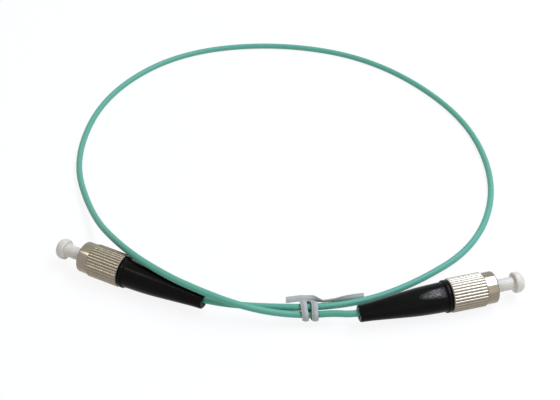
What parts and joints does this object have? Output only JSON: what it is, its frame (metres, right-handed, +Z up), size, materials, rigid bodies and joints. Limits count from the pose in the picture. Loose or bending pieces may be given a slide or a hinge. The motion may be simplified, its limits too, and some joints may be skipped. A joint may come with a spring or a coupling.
{
  "type": "fibre patch cord",
  "caption": "Fibre-optic patch cord lying in a loop held by a twist tie, each end a keyed screw-coupled plug with a sprung ferrule, strain-relief boot and push-on dust cap.",
  "frame": {"origin": "on the floor under the middle of the box of the two plugs, the cord left out", "axes": "+X from the left plug to the right one, +Y away from the viewer over the cord's loop, +Z up"},
  "size_m": [0.1406, 0.1483, 0.0147],
  "materials": {
    "nickel_plate": "nickel-plated turned brass",
    "zirconia": "polished zirconia ceramic",
    "spring_steel": "drawn spring wire",
    "aramid_yarn": "aramid strength yarn",
    "crimp_metal": "nickel-plated annealed brass",
    "buffer_coat": "tight-buffered fibre coating",
    "boot_rubber": "moulded black elastomer, satin",
    "cap_polythene": "natural translucent polyethylene",
    "cord_jacket": "extruded aqua cord jacket",
    "tie_plastic": "plastic-coated wire strip"
  },
  "bodies": {
    "cord_set": {"left_plug_frame": "nickel_plate", "left_rear_body": "nickel_plate", "left_spring": "spring_steel", "left_strength_yarn": "aramid_yarn", "left_crimp_sleeve": "crimp_metal", "left_buffered_fibre": "buffer_coat", "left_boot": "boot_rubber", "right_plug_frame": "nickel_plate", "right_rear_body": "nickel_plate", "right_spring": "spring_steel", "right_strength_yarn": "aramid_yarn", "right_crimp_sleeve": "crimp_metal", "right_buffered_fibre": "buffer_coat", "right_boot": "boot_rubber", "cord": "cord_jacket", "twist_tie": "tie_plastic"},
    "left_nut": {"left_coupling_nut": "nickel_plate"},
    "left_ferrule_set": {"left_ferrule": "zirconia", "left_ferrule_holder": "nickel_plate"},
    "left_cap": {"left_dust_cap": "cap_polythene"},
    "right_nut": {"right_coupling_nut": "nickel_plate"},
    "right_ferrule_set": {"right_ferrule": "zirconia", "right_ferrule_holder": "nickel_plate"},
    "right_cap": {"right_dust_cap": "cap_polythene"}
  },
  "joints": [
    {"name": "left_nut_spin", "type": "hinge", "parent": "cord_set", "child": "left_nut", "pos_m": [-0.05427, 0.00672, 0.005], "axis": [-0.8949, 0.4462, 0], "continuous": true},
    {"name": "left_ferrule_float", "type": "slide", "parent": "cord_set", "child": "left_ferrule_set", "axis": [0.8949, -0.4462, 0], "range_m": [0, 0.001], "stiffness_N_per_m": 2500, "deforming": ["left_spring", "left_buffered_fibre"]},
    {"name": "left_cap_pull", "type": "slide", "parent": "left_ferrule_set", "child": "left_cap", "axis": [-0.8949, 0.4462, 0], "range_m": [0, 0.012]},
    {"name": "right_nut_spin", "type": "hinge", "parent": "cord_set", "child": "right_nut", "pos_m": [0.05284, -0.00463, 0.005], "axis": [0.9659, 0.2588, 0], "continuous": true},
    {"name": "right_ferrule_float", "type": "slide", "parent": "cord_set", "child": "right_ferrule_set", "axis": [-0.9659, -0.2588, 0], "range_m": [0, 0.001], "stiffness_N_per_m": 2500, "deforming": ["right_spring", "right_buffered_fibre"]},
    {"name": "right_cap_pull", "type": "slide", "parent": "right_ferrule_set", "child": "right_cap", "axis": [0.9659, 0.2588, 0], "range_m": [0, 0.012]}
  ]
}
